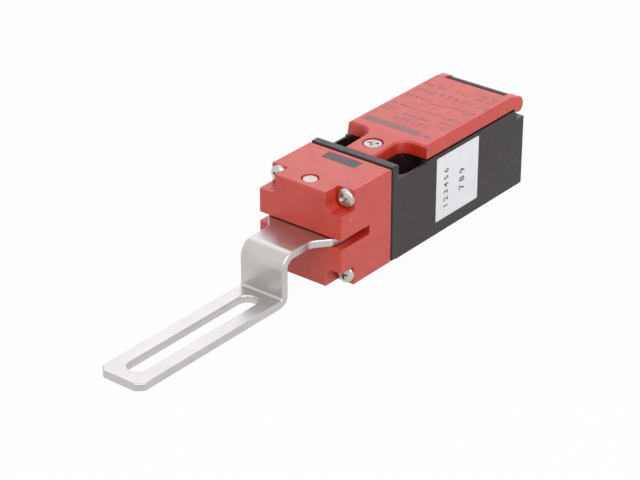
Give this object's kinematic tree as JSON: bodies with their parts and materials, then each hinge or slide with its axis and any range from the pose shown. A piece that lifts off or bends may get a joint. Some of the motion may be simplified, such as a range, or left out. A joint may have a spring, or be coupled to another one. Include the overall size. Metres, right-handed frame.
{
  "type": "safety hinge switch",
  "caption": "Safety hinge switch: a slotted elbow lever swings in a plastic head and works a contact block in a case with a hinged cover.",
  "frame": {"origin": "midway between the two fixing holes, on the flat mounting face", "axes": "+Z out of the mounting face towards the cover, +Y from the lever along the length towards the cable entry, +X across the width"},
  "size_m": [0.03, 0.1668, 0.0305],
  "materials": {
    "red_plastic": "semi-matt moulded red plastic",
    "black_plastic": "semi-matt moulded black plastic",
    "white_plastic": "natural white plastic",
    "grey_plastic": "grey moulded plastic",
    "stainless_steel": "satin stainless steel",
    "plated_steel": "bright plated steel",
    "brass": "plain brass",
    "seal_rubber": "black seal rubber"
  },
  "bodies": {
    "housing": {"body_case": "black_plastic", "head_case": "red_plastic", "head_gasket": "seal_rubber", "head_screws": "plated_steel", "blanking_plug": "black_plastic", "screw_insert": "brass", "pusher_seal": "seal_rubber", "return_spring": "stainless_steel", "contact_base": "grey_plastic", "fixed_contacts": "brass", "terminal_clamps": "plated_steel", "terminal_screws": "plated_steel", "contact_base_screw": "plated_steel"},
    "lever": {"lever": "stainless_steel", "spindle": "stainless_steel"},
    "cover": {"cover": "red_plastic", "cover_gasket": "seal_rubber", "cover_screw": "plated_steel"},
    "pusher": {"pusher": "white_plastic", "contact_carrier": "white_plastic", "contact_bridges": "brass", "bridge_springs": "stainless_steel"}
  },
  "joints": [
    {"name": "lever_swing", "type": "hinge", "parent": "housing", "child": "lever", "pos_m": [0, -0.0291, 0.015], "axis": [0, 0, 1], "range_deg": [-90, 90]},
    {"name": "cover_hinge", "type": "hinge", "parent": "housing", "child": "cover", "pos_m": [0, 0.05425, 0.02735], "axis": [-1, 0, 0], "range_deg": [0, 150]},
    {"name": "pusher_slide", "type": "slide", "parent": "housing", "child": "pusher", "axis": [0, 1, 0], "range_m": [0, 0.0016], "stiffness_N_per_m": 600, "springref_m": -0.004, "deforming": ["return_spring"]}
  ]
}
